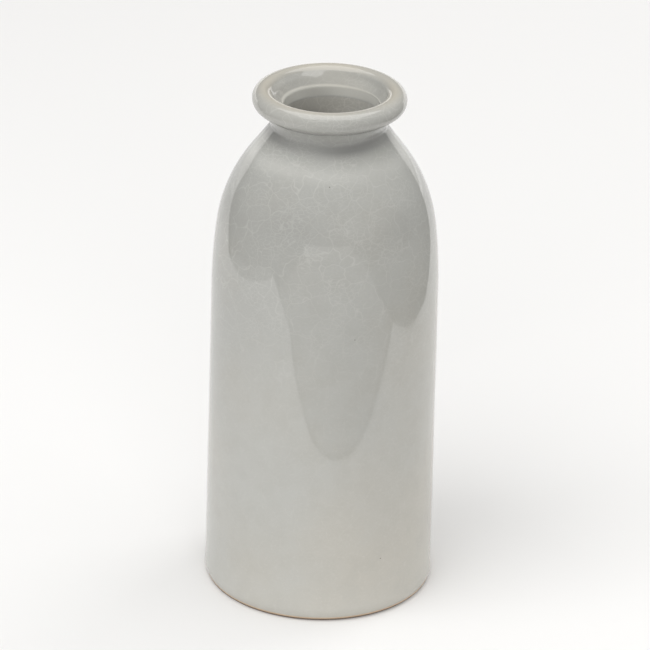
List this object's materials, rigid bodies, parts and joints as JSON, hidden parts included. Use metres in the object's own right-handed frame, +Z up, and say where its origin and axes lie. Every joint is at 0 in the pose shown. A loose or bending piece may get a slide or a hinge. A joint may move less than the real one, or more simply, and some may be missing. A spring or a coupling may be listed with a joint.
{
  "type": "ceramic bud vase",
  "caption": "Slender stoneware bud vase with a rolled lip and narrow throat, in pale grey crackle glaze, for a few cut stems.",
  "frame": {"origin": "centre of the foot ring's underside, on the table", "axes": "+Z up along the vase's axis, towards the mouth; X and Y are any pair across it, as the vase is round"},
  "size_m": [0.0712, 0.0712, 0.1626],
  "materials": {
    "stoneware": "matt fired clay",
    "grey_glaze": "glossy, fine crackle",
    "liner_glaze": "glossy"
  },
  "bodies": {
    "root": {"clay_body": "stoneware", "outer_glaze": "grey_glaze", "liner_glaze": "liner_glaze", "base_glaze": "grey_glaze"}
  },
  "joints": []
}
